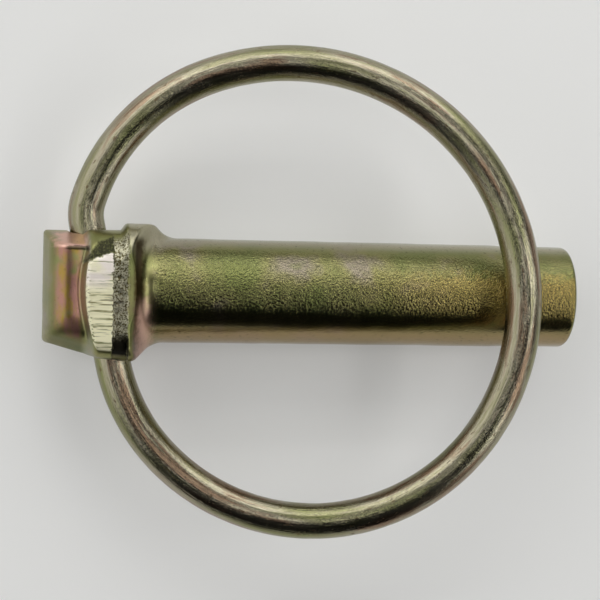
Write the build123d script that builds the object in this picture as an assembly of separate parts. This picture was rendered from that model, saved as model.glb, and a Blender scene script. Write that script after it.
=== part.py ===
from build123d import *
import os
from math import asin, cos, degrees, hypot, radians, sin

# Lynch pin: a forged pin with a block head and a trimmed collar, and a spring ring that snaps over the shank.
# X runs along the shank to its tip, Z is up, and the origin is on the shank's axis where its round wall begins.

# Shank, in millimetres
shank_diameter = 11.0
shank_length = 43.6
lead_in_length = 9.5
tip_diameter = 10.9
tip_edge_break = 0.4

# Neck between shank and collar
neck_fillet_radius = 4.0
neck_length = 2.2

# Collar: how far it stands out from the shank, and where its faces are along the pin
collar_top_overhang = 1.35
collar_bottom_overhang = 1.9
collar_flat_overhang = 1.1
collar_back_setback = 8.7
collar_ridge_setback = 3.9
collar_top_face_setback = 1.4
collar_top_start_setback = 4.1
collar_bottom_face_setback = 3.6
collar_top_corner_radius = 4.0
collar_bottom_corner_radius = 2.0
collar_back_bevel = 0.5
underside_bevel_rise = 4.2
top_step_length = 0.8

# Block head: a two-way tapered forging with its parting line in the plane of the pin
head_length = 12.85
block_top_overhang = 0.6
block_end_overhang = 0.0
heel_overhang = 1.5
heel_setback = 7.5
block_front_depth = 5.0
end_draft = 1.6
top_draft = 2.2
bottom_draft = 1.3
block_edge_radius = 0.6

# Cross hole: where the wire enters the top and the bottom of the head
top_hole_setback = 8.2
bottom_hole_setback = 5.5
hole_clearance = 0.1
mouth_bevel = 0.4

# Spring ring: its wire, its pegs, and the headings, from the hinge line, at which its arcs meet
wire_diameter = 3.75
peg_depth = 4.5
peg_end_bevel = 0.3
top_stand_off = 0.8
bottom_stand_off = 0.3
bend_radius = 4.8
upper_arc_radius = 20.4
bend_angle_deg = 28.5
upper_end_deg = 81.0
outer_end_deg = 218.0
lower_end_deg = 330.0
crossing_from_tip = 6.35
ring_gap = 0.16

# One overrun for every cut
cut_overrun = 2.0

# Sizes that follow from those above
shank_radius = shank_diameter / 2
wire_radius = wire_diameter / 2
neck_turn = asin(neck_length / neck_fillet_radius)
neck_radius = shank_radius + neck_fillet_radius * (1 - cos(neck_turn))
collar_top = shank_radius + collar_top_overhang
collar_bottom = shank_radius + collar_bottom_overhang
collar_flat = shank_radius + collar_flat_overhang
block_top = shank_radius + block_top_overhang
block_end_bottom = shank_radius + block_end_overhang
heel_bottom = shank_radius + heel_overhang
heel_slope = (heel_bottom - block_end_bottom) / (head_length - heel_setback)
collar_back_bottom = heel_bottom - heel_slope * (collar_back_setback - heel_setback)

# Hinge line of the ring, from the top mouth of the cross hole to the bottom one
hinge_top = Vector(-top_hole_setback, block_top, 0)
hinge_bottom = Vector(-bottom_hole_setback, -(heel_bottom + collar_bottom) / 2, 0)
hinge_middle = (hinge_top + hinge_bottom) / 2
hinge_half = (hinge_bottom - hinge_top).length / 2
hinge_axis = (hinge_bottom - hinge_top).normalized()
across_hinge = Vector(-hinge_axis.Y, hinge_axis.X, 0)


def outline(points):
    """Closed flat face through the given points."""
    return make_face(Polyline(*points, close=True))


def make_shank():
    """Round shank with its neck, lead-in and broken tip edge, turned about X."""
    core_start = -collar_ridge_setback
    wall_end = shank_length - lead_in_length
    tip_radius = tip_diameter / 2
    edge_start = shank_length - tip_edge_break
    neck_arc = CenterArc(
        (0, shank_radius + neck_fillet_radius), neck_fillet_radius, 270, -degrees(neck_turn)
    )
    upper = Polyline((0, shank_radius), (wall_end, shank_radius), (edge_start, tip_radius))
    tip = Polyline((edge_start, tip_radius), (shank_length, tip_radius - tip_edge_break), (shank_length, 0))
    base = Polyline((shank_length, 0), (core_start, 0), (core_start, neck_radius), (-neck_length, neck_radius))
    profile = make_face([neck_arc, *upper.edges(), *tip.edges(), *base.edges()])
    return revolve(profile, Axis.X, 360)


def make_block():
    """Tapered block head, widest at the parting line and narrower at its front and back faces."""
    inner_end = -collar_ridge_setback
    end_bottom = -block_end_bottom
    heel = -heel_bottom
    middle = outline([
        (-head_length, end_bottom), (-heel_setback, heel), (inner_end, heel),
        (inner_end, block_top), (-head_length, block_top),
    ])
    face = outline([
        (-head_length + end_draft, end_bottom + bottom_draft), (-heel_setback, heel + bottom_draft),
        (inner_end, heel + bottom_draft), (inner_end, block_top - top_draft),
        (-head_length + end_draft, block_top - top_draft),
    ])
    block = loft([Pos(0, 0, -block_front_depth) * face, middle, Pos(0, 0, block_front_depth) * face], ruled=True)
    faces = block.faces().sort_by(Axis.Z)
    rims = faces[0].edges() + faces[-1].edges()
    return fillet(rims.filter_by(lambda edge: edge.center().X < inner_end), block_edge_radius)


def make_collar():
    """Upset collar: a rounded section along the pin, trimmed to its side and top outlines."""
    corners = [
        (-collar_bottom, -collar_flat), (collar_top, -collar_flat),
        (collar_top, collar_flat), (-collar_bottom, collar_flat),
    ]
    section = outline(corners)
    top_corners = section.vertices().sort_by(Axis.X)[2:]
    section = fillet(top_corners, collar_top_corner_radius)
    bottom_corners = section.vertices().sort_by(Axis.X)[:2]
    section = fillet(bottom_corners, collar_bottom_corner_radius)
    collar = extrude(Pos(-collar_back_setback, 0, 0) * (Plane.YZ * section), collar_back_setback)
    back_edges = collar.faces().sort_by(Axis.X)[0].edges()
    collar = chamfer(back_edges, collar_back_bevel)

    bottom_flank = collar_bottom - neck_radius
    top_flank = collar_top - neck_radius
    side = outline([
        (-collar_back_setback, -collar_back_bottom), (-heel_setback, -heel_bottom),
        (-collar_bottom_face_setback, -collar_bottom),
        (-collar_bottom_face_setback + bottom_flank, -neck_radius), (-neck_length, 0),
        (-collar_top_face_setback - top_step_length, neck_radius),
        (-collar_top_face_setback, collar_top - top_flank / 2), (-collar_top_face_setback, collar_top),
        (-collar_top_start_setback, collar_top), (-collar_top_start_setback - top_step_length, block_top),
        (-collar_back_setback, block_top),
    ])
    half_plan = [
        (-collar_back_setback, collar_flat), (-collar_ridge_setback, collar_flat),
        (-collar_top_face_setback, collar_flat - underside_bevel_rise),
    ]
    plan = outline(half_plan + [(x, -depth) for x, depth in reversed(half_plan)])
    side_trim = extrude(side, collar_flat + cut_overrun, both=True)
    plan_trim = extrude(Plane.XZ * plan, collar_bottom + cut_overrun, both=True)
    return collar & side_trim & plan_trim


def cut_cross_hole(body):
    """Drill the slanted cross hole for the ring's ends and bevel its two mouths."""
    radius = wire_radius + hole_clearance
    along = Plane(origin=hinge_middle, x_dir=Vector(0, 0, 1), z_dir=hinge_axis)
    body -= along * Cylinder(radius, 2 * (hinge_half + cut_overrun))
    mouth_length = mouth_bevel + cut_overrun
    mouth_rise = hinge_half - mouth_bevel + mouth_length / 2
    mouth = Cone(radius, radius + mouth_length, mouth_length)
    for turn in (0, 180):
        body -= along * Rot(turn, 0, 0) * Pos(0, 0, mouth_rise) * mouth
    return body


def make_pin_body():
    """One forging: block, collar and shank, with the cross hole."""
    return cut_cross_hole(make_shank() + make_collar() + make_block())


def ring_plane():
    """Plane of the ring: through the hinge line, lifted so that the wire lies on the shank."""
    crossing = Vector(shank_length - crossing_from_tip, 0, 0)
    flat_reach = (crossing - hinge_middle).dot(across_hinge)
    lift = shank_radius + wire_radius + ring_gap
    reach = hypot(flat_reach, lift)
    outward = across_hinge * (flat_reach / reach) + Vector(0, 0, lift / reach)
    return Plane(origin=hinge_middle, x_dir=outward, z_dir=outward.cross(-hinge_axis)), reach


def turn_arc(start, radius, heading, next_heading):
    """Arc that turns clockwise from one heading to the next, in degrees from the plane's y direction."""
    centre = start + Vector(radius * cos(radians(heading)), -radius * sin(radians(heading)))
    return CenterArc(centre, radius, 180 - heading, heading - next_heading)


def unit_turn(heading, next_heading):
    """Step across and along the ring's plane made by an arc of radius one between two headings."""
    start, end = radians(heading), radians(next_heading)
    return Vector(cos(start) - cos(end), sin(end) - sin(start))


def closing_radii(step, first, last):
    """Radii of two arcs, given by their unit turns, that together make the step."""
    area = first.cross(last).Z
    return step.cross(last).Z / area, first.cross(step).Z / area


def make_spring_ring():
    """Bent wire: a peg at each end in the cross hole, a bend, and four tangent arcs round the shank."""
    plane, reach = ring_plane()
    bend_turn = unit_turn(0, bend_angle_deg)
    upper_turn = unit_turn(bend_angle_deg, upper_end_deg)
    outer_turn = unit_turn(upper_end_deg, outer_end_deg)
    to_far_side = unit_turn(upper_end_deg, 180)
    bend_and_upper = bend_turn * bend_radius + upper_turn * upper_arc_radius
    outer_arc_radius = (reach - bend_and_upper.X) / to_far_side.X

    peg_start = hinge_half - peg_depth
    bend_start = Vector(0, hinge_half + top_stand_off)
    return_end = Vector(0, -hinge_half - bottom_stand_off)
    lower_start = bend_start + bend_and_upper + outer_turn * outer_arc_radius
    lower_arc_radius, return_arc_radius = closing_radii(
        return_end - lower_start, unit_turn(outer_end_deg, lower_end_deg), unit_turn(lower_end_deg, 360)
    )

    path = [Line((0, peg_start), bend_start)]
    turns = [
        (bend_radius, 0, bend_angle_deg),
        (upper_arc_radius, bend_angle_deg, upper_end_deg),
        (outer_arc_radius, upper_end_deg, outer_end_deg),
        (lower_arc_radius, outer_end_deg, lower_end_deg),
        (return_arc_radius, lower_end_deg, 360),
    ]
    for radius, heading, next_heading in turns:
        path.append(turn_arc(path[-1] @ 1, radius, heading, next_heading))
    path.append(Line(path[-1] @ 1, (0, -peg_start)))

    section = Plane(origin=path[0] @ 0, z_dir=path[0] % 0) * Circle(wire_radius)
    ring = sweep(section, path=Wire([edge for piece in path for edge in piece.edges()]))
    peg_ends = ring.faces().filter_by(GeomType.PLANE)
    ring = chamfer([edge for face in peg_ends for edge in face.edges()], peg_end_bevel)
    return plane * ring


os.makedirs("parts", exist_ok=True)
export_step(make_pin_body(), "parts/pin_body.step")
export_step(make_spring_ring(), "parts/spring_ring.step")
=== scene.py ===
"""Lynch pin in yellow zinc plate: a forged pin with a trimmed collar, and the spring ring in its head.

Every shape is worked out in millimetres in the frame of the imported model: X runs along the shank to its tip,
Z is up, and the origin is on the shank's axis where its round wall begins.
"""
import logging
from dataclasses import dataclass, field
from enum import Enum
from typing import Any, Sequence

import bpy
import numpy as np
from mathutils import Matrix, Vector


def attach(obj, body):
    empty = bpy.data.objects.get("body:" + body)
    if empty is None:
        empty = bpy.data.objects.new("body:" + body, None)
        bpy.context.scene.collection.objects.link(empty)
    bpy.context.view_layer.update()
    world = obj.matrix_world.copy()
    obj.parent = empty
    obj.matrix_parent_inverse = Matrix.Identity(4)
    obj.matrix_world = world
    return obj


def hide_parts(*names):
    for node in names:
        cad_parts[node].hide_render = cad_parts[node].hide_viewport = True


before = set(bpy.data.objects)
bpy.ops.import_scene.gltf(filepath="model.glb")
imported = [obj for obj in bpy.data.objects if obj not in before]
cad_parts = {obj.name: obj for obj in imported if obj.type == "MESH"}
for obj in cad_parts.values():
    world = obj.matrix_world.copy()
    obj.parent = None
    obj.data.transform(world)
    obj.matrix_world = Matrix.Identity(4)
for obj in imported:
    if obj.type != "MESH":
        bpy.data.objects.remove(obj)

LOG = logging.getLogger("lynch_pin")
MM = 0.001
SHANK_RADIUS = 5.5
Array = np.ndarray
Pair = tuple[float, float]
Triple = tuple[float, float, float]
Colour = Triple


class Operation(Enum):
    """Operations of a Math node that the signals below use."""

    ADD = "ADD"
    SUBTRACT = "SUBTRACT"
    MULTIPLY = "MULTIPLY"
    ABSOLUTE = "ABSOLUTE"
    GREATER = "MAXIMUM"


class Ray(Enum):
    """Kinds of ray that a shader tells apart."""

    CAMERA = "Is Camera Ray"
    MIRRORED = "Is Glossy Ray"
    THROUGH = "Is Transmission Ray"


class Signal:
    """One output of a node, which takes part in plain arithmetic."""

    def __init__(self, sheet: "NodeSheet", socket: bpy.types.NodeSocket) -> None:
        """Keep the sheet that the signal belongs to and the socket that carries it."""
        self.sheet = sheet
        self.socket = socket

    def _join(self, operation: Operation, first: Any, second: Any) -> "Signal":
        """Add one Math node for an operation on two values."""
        return self.sheet.node("ShaderNodeMath", {"operation": operation.value}, {0: first, 1: second})

    def __add__(self, other: Any) -> "Signal":
        """Sum with a number or a signal."""
        return self._join(Operation.ADD, self, other)

    def __radd__(self, other: Any) -> "Signal":
        """Sum with a number on the left."""
        return self._join(Operation.ADD, other, self)

    def __sub__(self, other: Any) -> "Signal":
        """Difference from a number or a signal."""
        return self._join(Operation.SUBTRACT, self, other)

    def __rsub__(self, other: Any) -> "Signal":
        """Difference with a number on the left."""
        return self._join(Operation.SUBTRACT, other, self)

    def __mul__(self, other: Any) -> "Signal":
        """Product with a number or a signal."""
        return self._join(Operation.MULTIPLY, self, other)

    def __rmul__(self, other: Any) -> "Signal":
        """Product with a number on the left."""
        return self._join(Operation.MULTIPLY, other, self)

    def __abs__(self) -> "Signal":
        """Size without sign."""
        return self._join(Operation.ABSOLUTE, self, 0.0)

    def greater(self, other: Any) -> "Signal":
        """The larger of two values."""
        return self._join(Operation.GREATER, self, other)

    def ease(self, low: float, high: float) -> "Signal":
        """Smooth step between two values.

        Args:
            low: value where the step is 0, which may be the larger of the two.
            high: value where the step is 1.

        Returns:
            The step, from 0 to 1.
        """
        settings = {"interpolation_type": "SMOOTHSTEP"}
        if low < high:
            limits = {"From Min": low, "From Max": high, "To Min": 0.0, "To Max": 1.0}
        else:
            limits = {"From Min": high, "From Max": low, "To Min": 1.0, "To Max": 0.0}
        return self.sheet.node("ShaderNodeMapRange", settings, {"Value": self, **limits})


class NodeSheet:
    """A node tree that is filled by one method."""

    mix_share, mix_first, mix_second, mix_result = 0, 6, 7, 2

    def __init__(self, tree: bpy.types.NodeTree) -> None:
        """Start from an empty tree."""
        self.tree = tree
        tree.nodes.clear()

    def node(self, kind: str, settings: dict[str, Any], inputs: dict[Any, Any], output: Any = 0) -> Signal:
        """Add a node, set it up and feed its sockets.

        Args:
            kind: the node's type.
            settings: its own properties, and "stops" for the stops of a colour ramp.
            inputs: a number, colour or signal for each socket, by name or place.
            output: name or place of the output to return.

        Returns:
            The chosen output as a signal.
        """
        made = self.tree.nodes.new(kind)
        for name, value in settings.items():
            if name == "stops":
                self._set_stops(made.color_ramp, value)
            else:
                setattr(made, name, value)
        for place, value in inputs.items():
            socket = made.inputs[place]
            if isinstance(value, Signal):
                self.tree.links.new(value.socket, socket)
            else:
                socket.default_value = value
        socket = made.outputs[output] if len(made.outputs) else None
        return Signal(self, socket)

    @staticmethod
    def _set_stops(ramp: bpy.types.ColorRamp, stops: Sequence[tuple[float, Colour]]) -> None:
        """Write the places and colours of a ramp's stops.

        Args:
            ramp: the colour ramp.
            stops: place from 0 to 1 and colour of each stop, in order.
        """
        while len(ramp.elements) < len(stops):
            ramp.elements.new(1.0)
        for element, (place, colour) in zip(ramp.elements, stops):
            element.position = place
            element.color = (*colour, 1.0)

    def noise(self, place: Signal, scale: float, detail: float = 2.0, rough: float = 0.5) -> Signal:
        """Smooth random value from 0 to 1 at a place, with the given number of waves per unit."""
        inputs = {"Vector": place, "Scale": scale, "Detail": detail, "Roughness": rough}
        return self.node("ShaderNodeTexNoise", {}, inputs, "Fac")

    def mix(self, share: Any, first: Any, second: Any) -> Signal:
        """Colour between two colours.

        Args:
            share: share of the second colour, from 0 to 1.
            first: colour at share 0.
            second: colour at share 1.

        Returns:
            The mixed colour.
        """
        first = (*first, 1.0) if isinstance(first, tuple) else first
        second = (*second, 1.0) if isinstance(second, tuple) else second
        inputs = {self.mix_share: share, self.mix_first: first, self.mix_second: second}
        return self.node("ShaderNodeMix", {"data_type": "RGBA"}, inputs, self.mix_result)

    def stretched(self, place: Signal, factors: Triple) -> Signal:
        """Place scaled by its own factor along each axis."""
        return self.node("ShaderNodeVectorMath", {"operation": "MULTIPLY"}, {0: place, 1: factors})

    def axes(self, place: Signal) -> tuple[Signal, Signal, Signal]:
        """Take a place apart.

        Args:
            place: the place, as a vector.

        Returns:
            Its three coordinates.
        """
        split = self.node("ShaderNodeSeparateXYZ", {}, {0: place}, "X")
        outputs = split.socket.node.outputs
        return split, Signal(self, outputs["Y"]), Signal(self, outputs["Z"])

    def ray(self, kind: Ray) -> Signal:
        """1 for rays of one kind and 0 for all others."""
        return self.node("ShaderNodeLightPath", {}, {}, kind.value)

    def metal(self, inputs: dict[str, Any], relief: Signal, depth: float) -> None:
        """End the sheet with a bumpy metal surface.

        Args:
            inputs: colour, metallic share and roughness, by socket.
            relief: height of the bumps.
            depth: size of a height of one, in millimetres.
        """
        bumps = {"Strength": 1.0, "Distance": depth * MM, "Height": relief}
        normal = self.node("ShaderNodeBump", {}, bumps, "Normal")
        surface = self.node("ShaderNodeBsdfPrincipled", {}, {**inputs, "Normal": normal})
        self.node("ShaderNodeOutputMaterial", {}, {"Surface": surface})


class Grain:
    """Smooth random field on a repeating lattice of numbers, the same on every run."""

    lattice = 64

    def __init__(self, seed: int) -> None:
        """Draw the lattice's numbers, from -1 to 1."""
        self.values = np.random.default_rng(seed).uniform(-1.0, 1.0, (self.lattice,) * 3)

    def at(self, places: Array, wave: float | Sequence[float]) -> Array:
        """Value at each place: the eight lattice numbers round it, blended by smooth steps along each axis.

        Args:
            places: points, with their coordinates in the last axis.
            wave: lattice spacing, one for all axes or one for each.

        Returns:
            Values from -1 to 1.
        """
        scaled = places / np.asarray(wave)
        corner = np.floor(scaled).astype(int)
        share = scaled - corner
        share = share * share * (3.0 - 2.0 * share)
        total = np.zeros(places.shape[:-1])
        for step in np.ndindex(2, 2, 2):
            index = (corner + step) % self.lattice
            weight = np.prod(np.where(np.array(step) == 1, share, 1.0 - share), axis=-1)
            total += weight * self.values[index[..., 0], index[..., 1], index[..., 2]]
        return total


def ease(values: Array, low: float, high: float) -> Array:
    """Smooth step from 0 at the low value to 1 at the high one, or back if low is the larger."""
    share = np.clip((values - low) / (high - low), 0.0, 1.0)
    return share * share * (3.0 - 2.0 * share)


def soft_max(first: Array, second: Array, round_over: float) -> Array:
    """Larger of two fields, with the corner between them rounded over the given width."""
    near = np.maximum(round_over - np.abs(first - second), 0.0) / round_over
    return np.maximum(first, second) + near * near * round_over / 4.0


def soft_min(first: Array, second: Array, round_over: float) -> Array:
    """Smaller of two fields, with the inner corner between them filled over the given width."""
    return -soft_max(-first, -second, round_over)


def soft_size(values: Array, flat: float) -> Array:
    """Size without sign, with the crease at zero rounded: the hypotenuse with the flat, less the flat."""
    return np.hypot(values, flat) - flat


def grid_faces(rows: int, columns: int) -> Array:
    """Quads of a grid of points whose columns close on themselves.

    Args:
        rows: number of rows of points.
        columns: number of points in a row.

    Returns:
        Four indices for each quad.
    """
    row, column = np.meshgrid(np.arange(rows - 1), np.arange(columns), indexing="ij")
    after = (column + 1) % columns
    quads = np.stack([row * columns + column, (row + 1) * columns + column,
                      (row + 1) * columns + after, row * columns + after], axis=-1)
    return quads.reshape(-1, 4)


def tube_mesh(name: str, grid: Array, first_pole: Array, last_pole: Array) -> bpy.types.Mesh:
    """Closed mesh from a grid of rings of points and a pole that closes each end.

    Args:
        name: name of the mesh.
        grid: points in millimetres, as rows by columns by three.
        first_pole: point that closes the first row.
        last_pole: point that closes the last row.

    Returns:
        The mesh, in metres, with its faces pointing outwards and shaded smooth.
    """
    rows, columns = grid.shape[:2]
    count = rows * columns
    points = np.vstack([grid.reshape(-1, 3), first_pole, last_pole]) * MM
    column = np.arange(columns)
    after = (column + 1) % columns
    last = (rows - 1) * columns
    quads = grid_faces(rows, columns)
    first_fan = np.stack([np.full(columns, count), column, after], axis=-1)
    last_fan = np.stack([np.full(columns, count + 1), last + after, last + column], axis=-1)
    mesh = bpy.data.meshes.new(name)
    mesh.from_pydata(points.tolist(), [], quads.tolist() + first_fan.tolist() + last_fan.tolist())
    mesh.shade_smooth()
    return mesh


def welded(name: str, cut: bpy.types.Mesh, cell: float) -> bpy.types.Mesh:
    """Triangles of a cut mesh without slivers.

    Points in one cell of a fine lattice become one, and again with the lattice moved by half a cell.
    Triangles that closed up are left out, and so are pairs that then lie back to back.

    Args:
        name: name of the new mesh.
        cut: mesh as the cut left it.
        cell: width of the lattice's cells, in metres.

    Returns:
        The new mesh.
    """
    cut.calc_loop_triangles()
    points = np.empty(len(cut.vertices) * 3)
    cut.vertices.foreach_get("co", points)
    points = points.reshape(-1, 3)
    corners = np.empty(len(cut.loop_triangles) * 3, dtype=np.int32)
    cut.loop_triangles.foreach_get("vertices", corners)
    for shift in (0.0, 0.5):
        cells = np.floor(points / cell + shift)
        _, first, place = np.unique(cells, axis=0, return_index=True, return_inverse=True)
        points, corners = points[first], place.ravel()[corners]
    order = np.sort(corners.reshape(-1, 3), axis=1)
    spread = (order[:, 0] != order[:, 1]) & (order[:, 1] != order[:, 2])
    _, kind, count = np.unique(order, axis=0, return_inverse=True, return_counts=True)
    alone = count[kind.ravel()] == 1
    mesh = bpy.data.meshes.new(name)
    mesh.from_pydata(points.tolist(), [], corners.reshape(-1, 3)[spread & alone].tolist())
    return mesh


def add_object(name: str, data: bpy.types.ID) -> bpy.types.Object:
    """Put a mesh, a lamp or a camera into the scene, at the origin.

    Args:
        name: name of the object.
        data: what the object shows.

    Returns:
        The object.
    """
    made = bpy.data.objects.new(name, data)
    bpy.context.scene.collection.objects.link(made)
    return made


def blank_material(name: str) -> tuple[bpy.types.Material, NodeSheet]:
    """Make a material without nodes.

    Args:
        name: name of the material.

    Returns:
        The material, and the sheet for its nodes.
    """
    material = bpy.data.materials.new(name)
    material.use_nodes = True
    return material, NodeSheet(material.node_tree)


@dataclass(frozen=True)
class Coat:
    """One colour laid over the film in one area of the forging."""

    area: str
    share: float
    colour: Colour


@dataclass(frozen=True)
class PinPlan:
    """Areas of the forging that differ in finish or carry painted shade, told apart by place.

    A border is a smooth step between two places in millimetres, and a noise about zero frays some of them.
    """

    x: Signal
    y: Signal
    depth: Signal
    ragged: Signal
    body: "PinBody"

    def frayed(self, axis: Signal, width: float) -> Signal:
        """Coordinate moved to and fro by the noise, so that a border drawn in it is ragged."""
        return axis + width * self.ragged

    def shank_areas(self) -> dict[str, Signal]:
        """Areas of the shank and of the neck behind it.

        Returns:
            A signal from 0 to 1 for each named area.
        """
        x, y, body = self.x, self.y, self.body
        shank = x.ease(-2.2, -0.4)
        wall = shank * x.ease(body.shank_length - 0.05, body.shank_length - 0.35)
        crown = wall * y.ease(4.2, 5.3)
        bump = x.ease(-4.5, -3.9) * x.ease(-0.2, -1.2) * y.ease(3.2, 4.8)
        band = self.frayed(y, 3.0)
        collar_foot = self.frayed(x, 1.2)
        # The hollow is the concave band behind the neck; its coat is painted shade.
        hollow = self.frayed(x, 0.5).ease(-3.9, -3.4) * self.frayed(x, 0.9).ease(-2.2, -3.0)
        return {
            "shank": shank,
            "grained": shank * (0.15 + 0.85 * y.ease(4.8, 2.8) * y.ease(-2.9, -1.3)),
            "under": wall * y.ease(-2.6, -4.6),
            "top": crown.greater(bump),
            "amber": wall * x.ease(16.0, 36.0) * band.ease(3.0, 1.0) * band.ease(-3.8, -2.0),
            "neck": collar_foot.ease(-3.9, -2.7) * collar_foot.ease(-0.9, -2.3)
            * self.frayed(y, 2.0).ease(-0.2, -2.8),
            "hollow": hollow * y.ease(5.7, 4.7),
        }

    def block_areas(self) -> dict[str, Signal]:
        """Areas of the block and of the step from it to the collar.

        Returns:
            A signal from 0 to 1 for each named area.
        """
        x, y, depth, body = self.x, self.y, self.depth, self.body
        front = self.frayed(depth, 0.8).ease(body.block_depth - 1.5, body.block_depth - 0.4)
        step = depth.ease(body.block_depth - 0.12, body.block_depth + 0.15)
        bevel = y.ease(body.crease - 0.1, body.crease + 0.2) * self.frayed(depth, 1.2).ease(0.2, 2.2)
        # The keel is the block's underside; its moss coat is painted shade, darker below.
        keel = self.frayed(y, 1.4).ease(-2.6, -4.2)
        # The crease is a dark line painted along the top edge of the front face: painted shade, with no groove
        # in the relief.
        crease = abs(self.frayed(y, 0.3) - body.crease).ease(0.3, 0.16) * depth.ease(3.2, 4.0)
        return {
            "front": front * x.ease(-8.6, -9.2),
            "step": step * x.ease(-7.9, -8.2),
            "bevel": bevel * self.frayed(x, 2.0).ease(-12.4, -10.6) * x.ease(-8.0, -8.7),
            "keel": keel * self.frayed(x, 1.5).ease(-12.8, -11.6) * x.ease(-8.4, -9.0),
            "crease": crease * x.ease(-10.9, -10.2) * x.ease(-7.9, -8.4),
        }

    def trim_areas(self) -> dict[str, Signal]:
        """Areas that the trimming of the collar left: the sheared flat, the torn strip and the lap over them.

        Returns:
            A signal from 0 to 1 for each named area.
        """
        x, y, depth, body = self.x, self.y, self.depth, self.body
        flat = depth.ease(body.flat_depth - 0.42, body.flat_depth - 0.26)
        tear = self.frayed(x, 0.9)
        left_of_tear = tear.ease(body.tear_start + 0.06, body.tear_start - 0.06)
        in_tear = tear.ease(body.tear_start - 0.06, body.tear_start + 0.06)
        in_tear = in_tear * tear.ease(body.tear_end + 0.2, body.tear_end)
        rise = y - body.lap_slope * (x - body.lap_middle)
        crest = self.frayed(y - body.crest_slope * (x - body.lap_middle), 0.8)
        start = self.frayed(x - body.lap_lean * y, 0.9)
        below_lap = self.frayed(rise, 0.9).ease(body.lap_bottom + 0.2, body.lap_bottom - 0.1)
        lap = rise.ease(body.lap_bottom - 0.2, body.lap_bottom + 0.3) * depth.ease(3.0, 3.5)
        lap = lap * crest.ease(body.lap_top + 0.4, body.lap_top)
        lap = lap * start.ease(body.lap_start - 0.3, body.lap_start + 0.3)
        return {
            "upper": y.ease(-0.6, 1.2),
            "sheared": flat * left_of_tear * below_lap,
            "torn": depth.ease(body.flat_depth - 1.9, body.flat_depth - 1.1) * in_tear,
            "lap": lap * left_of_tear,
            # The pit is a recess at the foot of the torn strip, painted black as painted shade.
            "pit": in_tear * self.frayed(y, 1.1).ease(-4.5, -5.5) * depth.ease(2.6, 4.4),
        }

    def areas(self) -> dict[str, Signal]:
        """All areas that differ in finish or carry painted shade."""
        return {**self.shank_areas(), **self.block_areas(), **self.trim_areas()}


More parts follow.
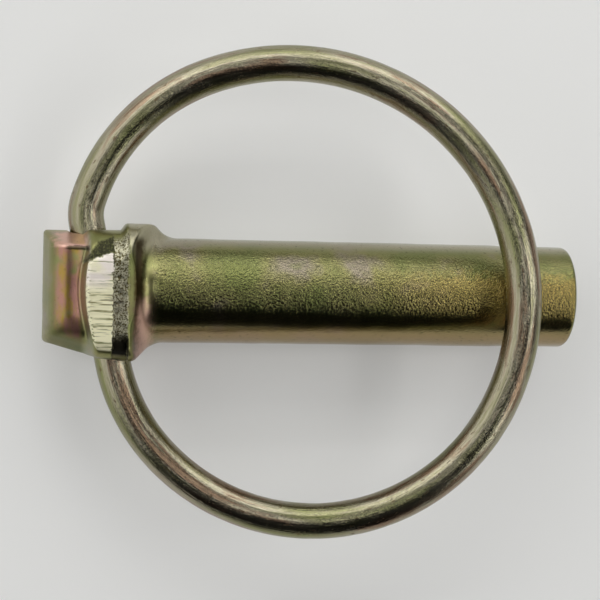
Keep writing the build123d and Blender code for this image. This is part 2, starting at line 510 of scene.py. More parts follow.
@dataclass(frozen=True)
class ForgedZinc:
    """Yellow zinc plate over the forging: satin metal whose film drifts from olive to gold and mauve."""

    olive: Colour = (0.21, 0.225, 0.085)
    gold: Colour = (0.28, 0.265, 0.115)
    haze: Colour = (0.31, 0.265, 0.20)
    mauve: Colour = (0.38, 0.195, 0.16)
    ochre: Colour = (0.35, 0.24, 0.055)
    umber: Colour = (0.36, 0.25, 0.13)
    lilac: Colour = (0.42, 0.39, 0.28)
    rose: Colour = (0.72, 0.45, 0.36)
    sheared: Colour = (0.95, 0.91, 0.62)
    blush: Colour = (0.97, 0.89, 0.81)
    torn: Colour = (0.46, 0.44, 0.33)
    # Dark moss green: the shank's tone and its flecks, and painted shade on the keel.
    moss: Colour = (0.045, 0.053, 0.020)
    # Near-black painted shade, for the crease, the pit and the lap's dark specks.
    painted_shade_black: Colour = (0.03, 0.028, 0.02)
    # Dark colour for the torn strip's crumbs, and painted shade in the hollow.
    torn_dark_and_hollow_shade: Colour = (0.07, 0.05, 0.02)
    honey: Colour = (0.44, 0.31, 0.11)
    head_roughness: float = 0.30
    shank_roughness: float = 0.19
    wear_roughness: float = 0.14
    added_roughness: tuple[tuple[str, float], ...] = (
        ("sheared", 0.2), ("lap", 0.2), ("pit", 0.5), ("keel", 0.22),
    )
    peel_depth: float = 0.10
    smooth_peel: float = 0.04
    scratch_relief: float = 0.2
    torn_relief: float = 0.5
    lap_relief: float = 0.7
    shank_coats: tuple[Coat, ...] = (
        Coat("shank", 0.18, moss), Coat("under", 0.75, umber),
        Coat("top", 0.85, lilac), Coat("amber", 0.55, honey),
    )
    # The hollow, keel and crease coats are painted shade; the rest are colours of the film.
    head_coats: tuple[Coat, ...] = (
        Coat("bevel", 1.0, rose), Coat("hollow", 1.0, torn_dark_and_hollow_shade), Coat("neck", 0.8, rose),
        Coat("keel", 0.25, moss), Coat("step", 0.8, lilac), Coat("crease", 0.85, painted_shade_black),
    )

    def colour(self, sheet: NodeSheet, place: Signal, areas: dict[str, Signal], scratch: Signal,
               crumbs: Signal) -> Signal:
        """Film colour at a place, area by area, with painted shade in the hollow, the keel, the crease, the lap
        and the pit.

        Args:
            sheet: the material's nodes.
            place: the place, in millimetres.
            areas: shares of the areas.
            scratch: pattern of the shear lines, from 0 to 1.
            crumbs: pattern of the torn metal, from 0 to 1.

        Returns:
            The colour.
        """
        film = sheet.noise(place, 0.17, 3.0, 0.55)
        colour = sheet.node("ShaderNodeValToRGB", {"stops": (
            (0.40, self.olive), (0.56, self.gold), (0.68, self.haze), (0.80, self.olive),
        )}, {"Fac": film}, "Color")
        blotch = sheet.noise(place, 0.5, 2.0, 0.5)
        for coat in self.shank_coats:
            colour = sheet.mix(areas[coat.area] * coat.share, colour, coat.colour)
        streak = sheet.noise(sheet.stretched(place, (1.0, 0.3, 0.4)), 1.0, 3.0, 0.65)
        front = sheet.mix(streak.ease(0.38, 0.68), self.mauve, self.ochre)
        colour = sheet.mix(areas["front"] * blotch.ease(0.25, 0.5), colour, front)
        for coat in self.head_coats:
            colour = sheet.mix(areas[coat.area] * coat.share, colour, coat.colour)
        fleck = sheet.noise(place, 2.8, 3.0, 0.6).ease(0.58, 0.72)
        colour = sheet.mix(fleck * (0.2 + 0.4 * areas["shank"]), colour, self.moss)
        # The lap is darkened with near-black specks: painted shade over its rough metal.
        speckled = sheet.mix(crumbs.ease(0.48, 0.80), self.painted_shade_black, self.olive)
        colour = sheet.mix(areas["lap"] * 0.9, colour, speckled)
        cream = sheet.mix(areas["upper"] * blotch.ease(0.3, 0.6), self.sheared, self.blush)
        clean = scratch + 0.08 * areas["upper"] - 0.05
        bright = sheet.mix(clean.ease(0.32, 0.47), colour, cream)
        colour = sheet.mix(areas["sheared"], colour, bright)
        broken = sheet.mix(crumbs.ease(0.40, 0.56), self.torn_dark_and_hollow_shade, self.torn)
        colour = sheet.mix(areas["torn"] * 0.85, colour, broken)
        # Painted shade: the pit turns near-black.
        return sheet.mix(areas["pit"], colour, self.painted_shade_black)

    def material(self, body: "PinBody") -> bpy.types.Material:
        """Shader of the forging.

        Args:
            body: the pin, whose sizes say where the areas of the finish lie.

        Returns:
            The material.
        """
        material, sheet = blank_material("forged_zinc")
        coordinates = sheet.node("ShaderNodeTexCoord", {}, {}, "Object")
        place = sheet.stretched(coordinates, (1.0 / MM,) * 3)
        x, y, z = sheet.axes(place)
        areas = PinPlan(x, y, abs(z), sheet.noise(place, 1.7, 3.0, 0.6) - 0.5, body).areas()
        scratch = sheet.noise(sheet.stretched(place, (0.3, 4.5, 4.5)), 1.0, 3.0, 0.6)
        crumbs = sheet.noise(place, 5.5, 3.0, 0.6)
        wear = sheet.noise(place, 0.7, 4.0, 0.6)
        roughness = self.head_roughness + (self.shank_roughness - self.head_roughness) * areas["shank"]
        roughness = roughness + self.wear_roughness * (wear - 0.5)
        for area, added in self.added_roughness:
            roughness = roughness + added * areas[area]
        peel = sheet.noise(place, 4.6, 2.0, 0.55)
        relief = peel * (self.smooth_peel + areas["grained"])
        relief = relief + areas["sheared"] * self.scratch_relief * scratch
        relief = relief + (self.torn_relief * areas["torn"] + self.lap_relief * areas["lap"]) * crumbs
        sheet.metal({
            "Base Color": self.colour(sheet, place, areas, scratch, crumbs),
            "Metallic": 1.0 - 0.75 * areas["sheared"], "Roughness": roughness,
        }, relief, self.peel_depth)
        return material


@dataclass(frozen=True)
class WireZinc:
    """Yellow zinc plate over drawn spring wire: fine lines along the wire and warm streaks in the film."""

    olive: Colour = (0.24, 0.25, 0.11)
    khaki: Colour = (0.29, 0.275, 0.165)
    straw: Colour = (0.37, 0.34, 0.245)
    rose: Colour = (0.27, 0.19, 0.125)
    umber: Colour = (0.12, 0.075, 0.035)
    base_roughness: float = 0.23
    line_depth: float = 0.028
    grit_share: float = 0.8
    pit_share: float = 0.5

    def material(self) -> bpy.types.Material:
        """Shader of the wire, on a map that runs along and round it in millimetres.

        Returns:
            The material.
        """
        material, sheet = blank_material("wire_zinc")
        place = sheet.node("ShaderNodeUVMap", {"uv_map": SpringRing.map_name}, {}, "UV")
        streak = sheet.noise(sheet.stretched(place, (0.07, 0.6, 1.0)), 1.0, 4.0, 0.6)
        colour = sheet.node("ShaderNodeValToRGB", {"stops": (
            (0.32, self.olive), (0.44, self.khaki), (0.52, self.straw), (0.60, self.rose),
        )}, {"Fac": streak}, "Color")
        lines = sheet.noise(sheet.stretched(place, (0.12, 6.0, 1.0)), 1.0, 3.0, 0.65)
        grit = sheet.noise(sheet.stretched(place, (3.2, 4.4, 1.0)), 1.0, 2.0, 0.6)
        pits = sheet.noise(sheet.stretched(place, (0.8, 2.0, 1.0)), 1.0, 3.0, 0.6)
        dark = pits.ease(0.60, 0.70)
        colour = sheet.mix(dark * 0.7, colour, self.umber)
        roughness = self.base_roughness + 0.2 * (lines - 0.5) + 0.12 * dark
        relief = lines + self.grit_share * grit + self.pit_share * pits
        sheet.metal({"Base Color": colour, "Metallic": 1.0, "Roughness": roughness}, relief, self.line_depth)
        return material


@dataclass(frozen=True)
class Hinge:
    """Line of the cross hole in the head, which the ring swings about. Sizes in millimetres."""

    middle: Pair = (-6.85, -0.55)
    axis: Pair = (0.198949, -0.98001)
    half: float = 6.785

    def directions(self) -> tuple[Array, Array, Array]:
        """Place and directions of the hinge.

        Returns:
            Its middle, the direction along it, and the level direction square to it, towards the tip.
        """
        axis = np.array([*self.axis, 0.0])
        side = np.array([-axis[1], axis[0], 0.0])
        return np.array([*self.middle, 0.0]), axis, side


@dataclass
class PinBody:
    """The forging: block head, trimmed collar, neck and shank. Sizes in millimetres, from the origin."""

    shank_radius: float = SHANK_RADIUS
    shank_length: float = 43.56
    lead_in_length: float = 9.5
    tip_radius: float = 5.45
    tip_round: float = 0.45
    neck_start: float = -1.5
    neck_fillet: float = 2.4
    neck_length: float = 2.1
    neck_blend: float = 0.95
    wall_inset: float = 0.1
    wall_round: float = 0.3

    head_length: float = 12.8
    block_top: float = 6.1
    block_bottom: float = 5.5
    heel_slope: float = 0.28
    block_depth: float = 5.0
    end_draft: float = 0.32
    top_draft: float = 0.44
    bottom_draft: float = 0.40
    parting_round: float = 1.1
    block_round: float = 0.45
    bottom_round: float = 1.9
    front_round: float = 2.4
    block_stop: float = -5.0
    head_blend: float = 0.25

    collar_top: float = 6.85
    collar_bottom: float = 7.4
    flat_depth: float = 6.54
    top_corner: float = 4.0
    bottom_corner: float = 2.0
    collar_back: float = -8.35
    back_slope: float = 0.42
    ridge: float = -3.9
    top_face: float = -1.4
    shoulder_slope: float = 1.05
    top_start: float = -4.5
    bottom_face: float = -3.6
    bottom_slope: float = 0.1
    foot_slope: float = 0.84
    underside_run: float = 1.7
    crown_run: float = 0.9
    crown_from: float = 2.4
    crown_to: float = 5.2
    underside_rise: float = 4.2
    collar_round: float = 0.4
    crown_round: float = 0.12
    tear_start: float = -5.75
    tear_end: float = -4.3
    tear_depth: float = 0.2
    pit_depth: float = 0.6
    lap_bottom: float = 3.2
    lap_middle: float = -7.0
    lap_slope: float = 0.38
    lap_top: float = 4.8
    crest_slope: float = 0.18
    lap_start: float = -10.8
    lap_lean: float = 0.75
    lap_depth: float = 0.12
    crease: float = 4.15

    wave_height: float = 0.025
    line_height: float = 0.03
    torn_height: float = 0.06
    lap_height: float = 0.09

    hinge: Hinge = Hinge()
    hole_radius: float = 1.975
    mouth_bevel: float = 0.25
    drill_overrun: float = 2.0
    drill_sides: int = 96
    weld_cell: float = 0.002
    sharp_deg: float = 50.0

    columns: int = 232
    end_rows: int = 46
    end_side_rows: int = 54
    head_row_step: float = 0.078
    wall_rows: int = 150
    tip_side_rows: int = 22
    tip_rows: int = 26
    pole_gap: float = 0.15
    front_crowding: float = 0.3
    end_centre: float = -8.0
    tip_centre: float = 40.0
    search_reach: float = 12.0
    search_steps: int = 28
    finish: ForgedZinc = field(default_factory=ForgedZinc)

    def block_field(self, points: Array) -> Array:
        """Block head: the largest of its end, top, bottom and front distances, each leaning with the depth.

        Args:
            points: places, with their coordinates in the last axis.

        Returns:
            Distance from the surface, below zero inside.
        """
        x, y, z = np.moveaxis(points, -1, 0)
        lean = soft_size(z, self.parting_round)
        end = (-self.head_length - x + self.end_draft * lean) / np.hypot(1.0, self.end_draft)
        top = (y - self.block_top + self.top_draft * lean) / np.hypot(1.0, self.top_draft)
        fall = self.block_bottom + self.heel_slope * (x + self.head_length)
        bottom = (-y - fall + self.bottom_draft * lean) / np.hypot(1.0, self.bottom_draft)
        front = np.abs(z) - self.block_depth
        nose = soft_max(end, front, self.front_round)
        keel = soft_max(bottom, front, self.bottom_round)
        whole = soft_max(soft_max(nose, keel, self.block_round), top, self.block_round)
        return np.maximum(whole, x - self.block_stop)

    def collar_field(self, points: Array) -> Array:
        """Collar: a rounded section along X, cut by its sloped back, its two undersides and its end faces.

        Args:
            points: places, with their coordinates in the last axis.

        Returns:
            Distance from the surface, below zero inside.
        """
        x, y, z = np.moveaxis(points, -1, 0)
        bump = ease(x, self.top_start - 0.5, self.top_start + 0.3)
        top = self.block_top + (self.collar_top - self.block_top) * bump
        fall = self.block_bottom + self.heel_slope * (x + self.head_length)
        bottom = np.minimum(fall, self.collar_bottom + self.bottom_slope * (x - self.bottom_face))
        corner = np.where(y > 0.0, self.top_corner, self.bottom_corner)
        reach_y = np.where(y > 0.0, y - top, -y - bottom) + corner
        reach_z = np.abs(z) - self.flat_depth + corner
        outside = np.hypot(np.maximum(reach_y, 0.0), np.maximum(reach_z, 0.0))
        section = outside + np.minimum(np.maximum(reach_y, reach_z), 0.0) - corner
        away = np.hypot(y, z) - self.flat_depth
        back = (self.collar_back - x + self.back_slope * away) / np.hypot(1.0, self.back_slope)
        run = self.underside_run + self.crown_run * ease(y, self.crown_from, self.crown_to)
        under = self.underside_rise * (x - self.ridge) + run * (np.abs(z) - self.flat_depth)
        under = under / np.hypot(run, self.underside_rise)
        foot = self.foot_slope * (x - self.bottom_face) - (y + self.collar_bottom)
        foot = foot / np.hypot(self.foot_slope, 1.0)
        shoulder = x - self.top_face + self.shoulder_slope * (y - self.collar_top)
        shoulder = shoulder / np.hypot(1.0, self.shoulder_slope)
        face = soft_max(soft_max(under, shoulder, self.collar_round), foot, self.collar_round)
        return soft_max(soft_max(section, back, self.collar_round), face, self.collar_round)

    def shank_field(self, points: Array) -> Array:
        """Shank: distance from the axis less a radius that swells in the neck and narrows in the lead-in.

        Args:
            points: places, with their coordinates in the last axis.

        Returns:
            Distance from the surface, below zero inside.
        """
        x, y, z = np.moveaxis(points, -1, 0)
        into_neck = np.clip(self.neck_start - x, 0.0, self.neck_length)
        swell = self.neck_fillet - np.sqrt(self.neck_fillet ** 2 - into_neck ** 2)
        lead = np.clip((x - self.shank_length + self.lead_in_length) / self.lead_in_length, 0.0, 1.0)
        radius = self.shank_radius + swell - lead * (self.shank_radius - self.tip_radius)
        sides = np.abs(z) - self.flat_depth + self.wall_inset
        wall = soft_max(np.hypot(y, z) - radius, sides, self.wall_round)
        ends = np.maximum(x - self.shank_length, self.ridge - x)
        return soft_max(wall, ends, self.tip_round)

    def relief(self, points: Array) -> Array:
        """Marks of making, as a height: forging waves, shear lines on the flats, the torn strip and the lap.

        Args:
            points: places, with their coordinates in the last axis.

        Returns:
            Height of the marks over the plain forging, below zero in hollows.
        """
        x, y, z = np.moveaxis(points, -1, 0)
        depth = np.abs(z)
        wave = Grain(11).at(points, 3.1) + 0.5 * Grain(12).at(points, 1.3)
        rough = Grain(15).at(points, 0.42) + 0.8 * Grain(16).at(points, 0.24)
        flat = ease(depth, self.flat_depth - 0.5, self.flat_depth - 0.15)
        left_of_tear = ease(x, self.tear_start + 0.1, self.tear_start - 0.1)
        lines = Grain(13).at(points, (6.0, 0.26, 5.0)) + 0.6 * Grain(14).at(points, (1.6, 0.17, 5.0))
        sheared = flat * left_of_tear
        height = self.wave_height * wave * (1.0 - sheared) + sheared * self.line_height * lines
        in_tear = ease(x, self.tear_start - 0.05, self.tear_start + 0.12)
        in_tear = in_tear * ease(x, self.tear_end + 0.2, self.tear_end)
        strip = in_tear * ease(depth, self.flat_depth - 2.2, self.flat_depth - 1.0)
        pit = in_tear * ease(y, -4.9, -5.6) * ease(depth, 2.6, 4.0)
        height = height - strip * (self.tear_depth - self.torn_height * rough) - self.pit_depth * pit
        rise = y - self.lap_slope * (x - self.lap_middle)
        lap = ease(depth, 3.0, 3.6) * ease(rise, self.lap_bottom - 0.2, self.lap_bottom + 0.3)
        crest = y - self.crest_slope * (x - self.lap_middle)
        lap = lap * ease(crest, self.lap_top + 0.4, self.lap_top) * left_of_tear
        lap = lap * ease(x - self.lap_lean * y, self.lap_start - 0.3, self.lap_start + 0.3)
        return height + lap * (self.lap_height * rough - self.lap_depth)

    def forging_field(self, points: Array) -> Array:
        """Plain forging: block, collar and shank joined with fillets, cut off at the flats.

        Args:
            points: places, with their coordinates in the last axis.

        Returns:
            Distance from the surface, below zero inside.
        """
        _, y, z = np.moveaxis(points, -1, 0)
        head = soft_min(self.block_field(points), self.collar_field(points), self.head_blend)
        whole = soft_min(head, self.shank_field(points), self.neck_blend)
        whole = soft_max(whole, y - self.collar_top, self.crown_round)
        return np.maximum(whole, np.abs(z) - self.flat_depth)

    def stations(self) -> tuple[Array, Array]:
        """Start of each row's rays on the axis, and their lean back or ahead along X.

        Returns:
            The rows' starts, and the rows' angles from the cross plane, in radians and below zero for back.
        """
        to_end = self.head_length + self.end_centre
        across = np.linspace(self.pole_gap, self.block_top, self.end_rows)
        back_face = -np.arctan2(to_end, across)
        side = np.linspace(to_end, 0.0, self.end_side_rows)[1:-1]
        back_side = -np.arctan2(side, self.block_top)
        to_tip = self.shank_length - self.tip_centre
        tip_side = np.arctan2(np.linspace(0.0, to_tip, self.tip_side_rows)[1:], self.tip_radius)
        tip_face = np.arctan2(to_tip, np.linspace(self.tip_radius, self.pole_gap, self.tip_rows)[1:])
        head = np.arange(self.end_centre, 0.0, self.head_row_step)
        wall = np.linspace(0.0, self.tip_centre, self.wall_rows)
        starts = np.concatenate([
            np.full(len(back_face) + len(back_side), self.end_centre), head, wall,
            np.full(len(tip_side) + len(tip_face), self.tip_centre),
        ])
        flat = np.zeros(len(head) + len(wall))
        return starts, np.concatenate([back_face, back_side, flat, tip_side, tip_face])

    def surface(self) -> Array:
        """Points where rays from the axis leave the forging.

        The reach in which the field passes a level is halved until it is tiny: first to the level zero, then
        to the height of the relief at the points found.

        Returns:
            Points as rows by columns by three.
        """
        starts, leans = self.stations()
        turn = np.arange(self.columns) * 2.0 * np.pi / self.columns
        turn = turn - self.front_crowding * np.sin(2.0 * turn) / 2.0
        lean, around = np.meshgrid(leans, turn, indexing="ij")
        rays = np.stack([np.sin(lean), np.cos(lean) * np.sin(around), np.cos(lean) * np.cos(around)], axis=-1)
        origin = np.zeros_like(rays)
        origin[..., 0] = starts[:, None]
        points, level = origin, np.zeros(rays.shape[:2])
        for _ in range(2):
            near = np.zeros(rays.shape[:2])
            far = np.full(rays.shape[:2], self.search_reach)
            for _ in range(self.search_steps):
                middle = (near + far) / 2.0
                inside = self.forging_field(origin + rays * middle[..., None]) < level
                near = np.where(inside, middle, near)
                far = np.where(inside, far, middle)
            points = origin + rays * near[..., None]
            level = self.relief(points)
        return points

    def drill(self) -> bpy.types.Object:
        """Cutter for the cross hole: a profile of radius along the hinge line, turned about it.

        Returns:
            The cutter, which widens at both mouths to bevel their edges.
        """
        mouth, outer = self.hinge.half, self.hinge.half + self.drill_overrun
        inner = mouth - self.mouth_bevel
        along = np.array([-outer, -mouth, -inner, inner, mouth, outer])
        wide = self.hole_radius + self.mouth_bevel
        radius = np.array([wide, wide, self.hole_radius, self.hole_radius, wide, wide])
        turn = np.linspace(0.0, 2.0 * np.pi, self.drill_sides, endpoint=False)
        middle, axis, side = self.hinge.directions()
        up = np.array([0.0, 0.0, 1.0])
        rim = np.cos(turn)[:, None] * up + np.sin(turn)[:, None] * side
        grid = middle + along[:, None, None] * axis + radius[:, None, None] * rim
        return add_object("drill", tube_mesh("drill", grid, middle - outer * axis, middle + outer * axis))

    def build(self) -> bpy.types.Object:
        """Make the forging's mesh, drill its cross hole and dress it.

        Returns:
            The forging.
        """
        grid = self.surface()
        first = np.array([grid[0, :, 0].mean(), 0.0, 0.0])
        last = np.array([grid[-1, :, 0].mean(), 0.0, 0.0])
        piece = add_object("forged_pin", tube_mesh("forged_pin", grid, first, last))
        drill = self.drill()
        cut = piece.modifiers.new("cross_hole", "BOOLEAN")
        cut.operation = "DIFFERENCE"
        cut.object = drill
        cut.solver = "EXACT"
        graph = bpy.context.evaluated_depsgraph_get()
        holed = bpy.data.meshes.new_from_object(piece.evaluated_get(graph))
        drilled = welded("drilled_pin", holed, self.weld_cell * MM)
        piece.modifiers.clear()
        piece.data = drilled
        bpy.data.objects.remove(drill)
        drilled.shade_smooth()
        drilled.set_sharp_from_angle(angle=np.radians(self.sharp_deg))
        drilled.materials.append(self.finish.material(self))
        return piece


@dataclass
class SpringRing:
    """The bent wire: a peg in each mouth of the hole, a bend, and four tangent arcs. Sizes in millimetres."""

    map_name = "along_and_round"

    wire_radius: float = 1.868
    peg_depth: float = 4.5
    peg_bevel: float = 0.3
    top_stand_off: float = 0.8
    bottom_stand_off: float = 0.3
    bend_radius: float = 4.8
    upper_radius: float = 20.4
    bend_end: float = 28.5
    upper_end: float = 81.0
    outer_end: float = 218.0
    lower_end: float = 330.0
    crossing: float = 37.25
    gap: float = 0.16
    shank_radius: float = SHANK_RADIUS
    hinge: Hinge = Hinge()
    dent_depth: float = 0.025

    rows: int = 640
    columns: int = 64
    track_points: int = 24001
    finish: WireZinc = field(default_factory=WireZinc)

    def plane(self) -> tuple[Array, Array, Array, float]:
        """Plane of the ring, through the hinge line and over the shank.

        Returns:
            Its origin, its directions away from the hinge and up along it, and the ring's reach.
        """
        origin, axis, side = self.hinge.directions()
        flat_reach = (np.array([self.crossing, 0.0, 0.0]) - origin) @ side
        lift = self.shank_radius + self.wire_radius + self.gap
        reach = float(np.hypot(flat_reach, lift))
        outward = side * flat_reach / reach + np.array([0.0, 0.0, lift / reach])
        return origin, outward, -axis, reach

    @staticmethod
    def unit_turn(heading: Array, after: Array) -> Array:
        """Step along an arc of radius one between two headings in degrees, from their cosines and sines."""
        start, end = np.radians(heading), np.radians(after)
        return np.array([np.cos(start) - np.cos(end), np.sin(end) - np.sin(start)])

    def course(self) -> tuple[Array, Array, Array]:
        """Mid-line of the wire in the ring's plane: straight pegs, a bend and arcs that meet in line.

        Returns:
            Points, headings in degrees and distances along the wire, one for each row.
        """
        reach = self.plane()[3]
        before = self.unit_turn(0.0, self.bend_end) * self.bend_radius
        before = before + self.unit_turn(self.bend_end, self.upper_end) * self.upper_radius
        outer = (reach - before[0]) / self.unit_turn(self.upper_end, 180.0)[0]
        start = np.array([0.0, self.hinge.half + self.top_stand_off])
        end = np.array([0.0, -self.hinge.half - self.bottom_stand_off])
        rest = end - start - before - self.unit_turn(self.upper_end, self.outer_end) * outer
        last_turns = self.unit_turn(self.outer_end, self.lower_end), self.unit_turn(self.lower_end, 360.0)
        lower, back = np.linalg.solve(np.stack(last_turns, 1), rest)

        arc_ends = [self.bend_end, self.upper_end, self.outer_end, self.lower_end]
        headings = np.array([0.0, 0.0, *arc_ends, 360.0, 360.0])
        radii = np.array([self.bend_radius, self.upper_radius, outer, lower, back])
        arcs = radii * np.radians(np.diff(headings[1:-1]))
        pegs = self.peg_depth + np.array([self.top_stand_off, self.bottom_stand_off])
        lengths = np.concatenate([[0.0, pegs[0]], arcs, [pegs[1]]]).cumsum()
        bevel = self.peg_bevel
        along = np.concatenate([[0.0], np.linspace(bevel, lengths[-1] - bevel, self.rows - 2), [lengths[-1]]])
        heading = np.interp(along, lengths, headings)

        fine = np.linspace(0.0, lengths[-1], self.track_points)
        direction = np.radians(np.interp((fine[1:] + fine[:-1]) / 2.0, lengths, headings))
        steps = np.stack([np.sin(direction), np.cos(direction)], 1) * (fine[1] - fine[0])
        track = np.vstack([[0.0, 0.0], steps.cumsum(0)]) + [0.0, self.hinge.half - self.peg_depth]
        points = np.stack([np.interp(along, fine, track[:, 0]), np.interp(along, fine, track[:, 1])], 1)
        return points, heading, along

    def surface(self) -> tuple[Array, Array, Array]:
        """Circle of the wire carried square to its mid-line, with its ends bevelled and shallow dents in it.

        Returns:
            Points as rows by columns by three, the mid-line's points, and the distances along it.
        """
        points, heading, along = self.course()
        origin, outward, up, _ = self.plane()
        normal = np.cross(outward, up)
        middle = origin + points[:, :1] * outward + points[:, 1:] * up
        ahead = np.radians(heading)[:, None]
        right = np.cos(ahead) * outward - np.sin(ahead) * up
        turn = np.arange(self.columns) * 2.0 * np.pi / self.columns
        rim = np.cos(turn)[None, :, None] * right[:, None, :] + np.sin(turn)[None, :, None] * normal
        radius = np.full(self.rows, self.wire_radius)
        radius[[0, -1]] -= self.peg_bevel
        grid = middle[:, None, :] + radius[:, None, None] * rim
        dents = Grain(21).at(grid, 2.4) + 0.6 * Grain(22).at(grid, 0.9)
        grid = grid + (np.minimum(dents, 0.0) * self.dent_depth)[..., None] * rim
        return grid, middle, along

    def build(self) -> bpy.types.Object:
        """Make the wire's mesh, with its map along and round it in millimetres, and dress it.

        Returns:
            The wire.
        """
        grid, middle, along = self.surface()
        mesh = tube_mesh("spring_wire", grid, middle[0], middle[-1])
        columns = self.columns
        corner = np.empty(len(mesh.loops), dtype=np.int32)
        mesh.loops.foreach_get("vertex_index", corner)
        row = np.minimum(corner // columns, self.rows - 1)
        column = corner % columns
        starts = np.repeat(np.arange(len(mesh.polygons)), [len(face.vertices) for face in mesh.polygons])
        crosses = np.zeros(len(mesh.polygons), dtype=bool)
        np.logical_or.at(crosses, starts, column == columns - 1)
        wrap = crosses[starts] & (column == 0)
        around = (column + columns * wrap) * 2.0 * np.pi * self.wire_radius / columns
        chart = mesh.uv_layers.new(name=self.map_name)
        chart.data.foreach_set("uv", np.stack([along[row], around], axis=-1).astype(np.float32).ravel())
        mesh.materials.append(self.finish.material())
        return add_object(mesh.name, mesh)


@dataclass(frozen=True)
class PhotoView:
    """The camera: above the pin and a little towards its head, turned slightly about the line of sight."""

    target: Triple = (14.4, -0.79, 0.0)
    distance: float = 160.0
    lean_deg: float = 9.5
    roll_deg: float = 0.95
    lens: float = 89.6
    sensor: float = 36.0
    near_clip: float = 10.0

    def build(self) -> bpy.types.Object:
        """Add the camera and make it the scene's.

        Returns:
            The camera.
        """
        data = bpy.data.cameras.new("photo_view")
        data.lens = self.lens
        data.sensor_width = self.sensor
        data.clip_start = self.near_clip * MM
        camera = add_object("photo_view", data)
        lean, roll = np.radians(self.lean_deg), np.radians(self.roll_deg)
        back = Vector((-np.sin(lean), 0.0, np.cos(lean)))
        level = Vector((np.cos(lean), 0.0, np.sin(lean)))
        upright = Vector((0.0, 1.0, 0.0))
        right = level * np.cos(roll) + upright * np.sin(roll)
        above = upright * np.cos(roll) - level * np.sin(roll)
        turn = Matrix((right, above, back)).transposed().to_4x4()
        place = (Vector(self.target) + back * self.distance) * MM
        camera.matrix_world = Matrix.Translation(place) @ turn
        bpy.context.scene.camera = camera
        return camera


@dataclass(frozen=True)
class Lamp:
    """A soft rectangular lamp that faces the pin. Sizes in millimetres, power in watts."""

    name: str
    place: Triple
    width: float
    height: float
    power: float

    def build(self, target: Vector) -> bpy.types.Object:
        """Add the lamp.

        Args:
            target: place that the lamp faces, in metres.

        Returns:
            The lamp.
        """
        data = bpy.data.lights.new(self.name, "AREA")
        data.shape = "RECTANGLE"
        data.size = self.width * MM
        data.size_y = self.height * MM
        data.energy = self.power
        lamp = add_object(self.name, data)
        lamp.location = Vector(self.place) * MM
        lamp.rotation_euler = (target - lamp.location).to_track_quat("-Z", "Y").to_euler()
        return lamp


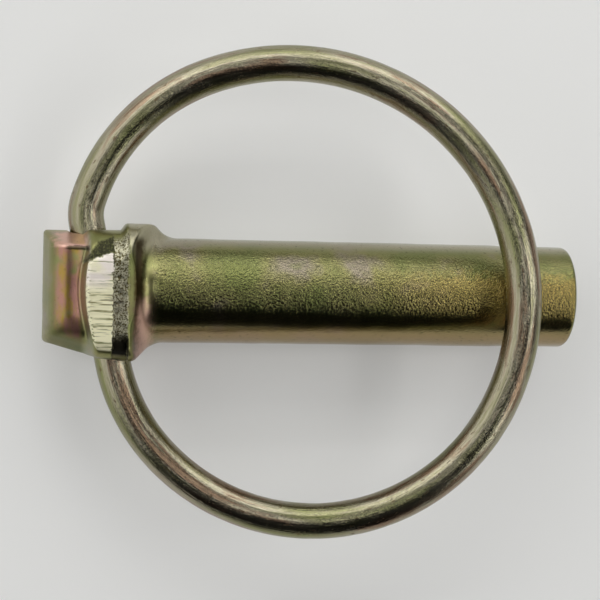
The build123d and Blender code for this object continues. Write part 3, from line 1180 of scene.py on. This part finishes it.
@dataclass(frozen=True)
class Studio:
    """Pale floor under the head and the tip, soft lamps, and a dim room, lighter on the lamps' side."""

    floor_colour: Colour = (0.93, 0.93, 0.91)
    floor_glow: float = 0.26
    fade_start: float = 110.0
    fade_end: float = 300.0
    floor_size: float = 3000.0
    floor_points: int = 9
    floor_height: float = -6.62
    floor_tilt_deg: float = 1.45
    tilt_place: float = -5.0
    backdrop: Colour = (0.86, 0.86, 0.85)
    room_dark: Colour = (0.008, 0.008, 0.008)
    room_light: Colour = (0.36, 0.36, 0.345)
    target: Triple = (15.0, 0.0, 0.0)
    lamps: tuple[Lamp, ...] = (
        Lamp("long_softbox", (10.0, 413.0, 248.0), 900.0, 390.0, 1.32),
        Lamp("side_fill", (-420.0, 60.0, 240.0), 700.0, 520.0, 1.05),
        Lamp("top_fill", (-20.0, 50.0, 560.0), 170.0, 170.0, 0.18),
        Lamp("tip_fill", (430.0, 40.0, 380.0), 110.0, 420.0, 0.24),
        Lamp("right_fill", (400.0, -250.0, 270.0), 340.0, 300.0, 0.24),
        Lamp("ring_strip", (378.0, -30.0, 402.0), 620.0, 34.0, 0.42),
        Lamp("strip", (10.0, 420.0, 328.0), 800.0, 30.0, 0.28),
    )

    def floor_material(self) -> bpy.types.Material:
        """Shader of the floor: matt, with a faint glow that takes over far away, so that no horizon shows.

        Returns:
            The material.
        """
        material, sheet = blank_material("pale_floor")
        place = sheet.node("ShaderNodeTexCoord", {}, {}, "Object")
        away = sheet.node("ShaderNodeVectorMath", {"operation": "LENGTH"}, {0: place}, "Value")
        far = away.ease(self.fade_start * MM, self.fade_end * MM)
        lit = sheet.node("ShaderNodeBsdfDiffuse", {}, {"Color": (*self.floor_colour, 1.0)})
        plain = sheet.node("ShaderNodeEmission", {}, {"Color": (*self.backdrop, 1.0), "Strength": 1.0})
        faded = self.floor_glow + (1.0 - self.floor_glow) * far
        share = (sheet.ray(Ray.CAMERA) * faded).greater(sheet.ray(Ray.MIRRORED) * self.floor_glow)
        surface = sheet.node("ShaderNodeMixShader", {}, {0: share, 1: lit, 2: plain})
        sheet.node("ShaderNodeOutputMaterial", {}, {"Surface": surface})
        return material

    def build_floor(self) -> bpy.types.Object:
        """Add the floor: a flat grid, tilted so that it meets the head's back and the tip.

        Returns:
            The floor.
        """
        half, count = self.floor_size / 2.0, self.floor_points
        line = np.linspace(-half, half, count)
        across, along = np.meshgrid(line, line)
        height = self.floor_height + np.tan(np.radians(self.floor_tilt_deg)) * (across - self.tilt_place)
        points = np.stack([across, along, height], axis=-1).reshape(-1, 3) * MM
        first = np.arange(count * count).reshape(count, count)[:-1, :-1].ravel()
        quads = np.stack([first, first + 1, first + count + 1, first + count], axis=1)
        mesh = bpy.data.meshes.new("floor")
        mesh.from_pydata(points.tolist(), [], quads.tolist())
        mesh.materials.append(self.floor_material())
        floor = add_object("floor", mesh)
        return floor

    def build_room(self) -> None:
        """Set the world: dark on the near side, lighter on the side of the lamps.

        The camera sees the backdrop's colour instead, and so do mirrored rays near the horizon.
        """
        world = bpy.data.worlds.new("room")
        bpy.context.scene.world = world
        world.use_nodes = True
        sheet = NodeSheet(world.node_tree)
        direction = sheet.node("ShaderNodeTexCoord", {}, {}, "Generated")
        x, y, z = sheet.axes(direction)
        share = (y - 0.35 * x).ease(-0.2, 0.95) * z.ease(0.08, 0.4)
        low = z.ease(0.08, 0.02)
        pale = sheet.ray(Ray.CAMERA).greater(sheet.ray(Ray.MIRRORED).greater(sheet.ray(Ray.THROUGH)) * low)
        colour = sheet.mix(pale, sheet.mix(share, self.room_dark, self.room_light), self.backdrop)
        light = sheet.node("ShaderNodeBackground", {}, {"Color": colour, "Strength": 1.0})
        sheet.node("ShaderNodeOutputWorld", {}, {"Surface": light})

    def build(self) -> None:
        """Build the floor and the room, then the lamps.

        All lamps face one place, near the middle of the shank.
        """
        self.build_floor()
        self.build_room()
        for lamp in self.lamps:
            lamp.build(Vector(self.target) * MM)
        LOG.info("the studio has %d lamps", len(self.lamps))


def main() -> None:
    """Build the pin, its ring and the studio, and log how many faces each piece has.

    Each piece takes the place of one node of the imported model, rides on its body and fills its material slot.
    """
    logging.basicConfig(level=logging.INFO, format="%(name)s: %(message)s")
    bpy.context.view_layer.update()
    bpy.context.scene.view_settings.view_transform = "Standard"

    pin = PinBody().build()
    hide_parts("pin_body")
    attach(pin, "pin")
    LOG.info("%s has %d faces", pin.name, len(pin.data.polygons))

    ring = SpringRing().build()
    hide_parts("spring_ring")
    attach(ring, "ring")
    LOG.info("%s has %d faces", ring.name, len(ring.data.polygons))

    PhotoView().build()
    Studio().build()


if __name__ == "__main__":
    main()
